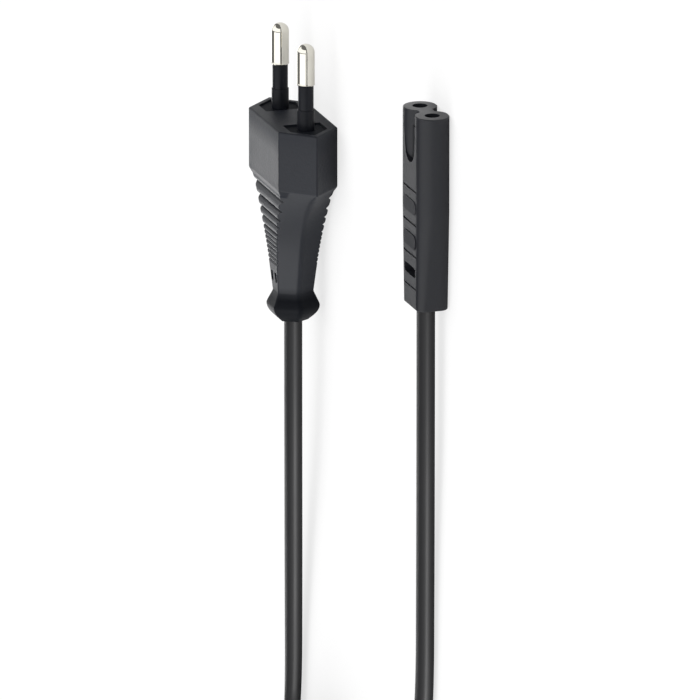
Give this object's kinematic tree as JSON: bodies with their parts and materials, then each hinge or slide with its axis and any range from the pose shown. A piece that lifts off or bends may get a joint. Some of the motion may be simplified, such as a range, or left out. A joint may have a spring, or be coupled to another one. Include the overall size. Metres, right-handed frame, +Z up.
{
  "type": "power cord",
  "caption": "Mains power cord with a flat two-pin plug, flat twin cable and a figure-8 appliance connector, spare cable coiled and tied.",
  "frame": {"origin": "on the surface the cord lies on, under the middle of the box round the plug and the connector", "axes": "+Y the way the pins and the contact face point, +X from the plug to the connector, +Z up from the surface"},
  "size_m": [0.1163, 0.2367, 0.0139],
  "materials": {
    "plug_moulding": "satin black-grey moulding, fine grain on the head",
    "pin_carrier_plastic": "dull black",
    "pin_metal": "polished nickel plate",
    "sleeve_plastic": "semi-matt black",
    "conductor_copper": "bare copper strands",
    "core_brown": "smooth",
    "core_blue": "smooth",
    "connector_moulding": "satin black-grey moulding",
    "contact_carrier_plastic": "dull black",
    "contact_brass": "rolled strip",
    "cable_sheath": "smooth, slightly glossy",
    "tie_plastic": "plain strap"
  },
  "bodies": {
    "root": {"plug_body": "plug_moulding", "pin_carrier": "pin_carrier_plastic", "plug_pin_left": "pin_metal", "plug_pin_right": "pin_metal", "pin_sleeve_left": "sleeve_plastic", "pin_sleeve_right": "sleeve_plastic", "plug_conductor_left": "conductor_copper", "plug_conductor_right": "conductor_copper", "plug_core_brown": "core_brown", "plug_core_blue": "core_blue", "connector_body": "connector_moulding", "contact_carrier": "contact_carrier_plastic", "contact_left": "contact_brass", "contact_right": "contact_brass", "connector_conductor_left": "conductor_copper", "connector_conductor_right": "conductor_copper", "connector_core_brown": "core_brown", "connector_core_blue": "core_blue", "cable_plug_run": "cable_sheath", "cable_connector_run": "cable_sheath", "cable_coil": "cable_sheath", "coil_tie": "tie_plastic"}
  },
  "joints": []
}
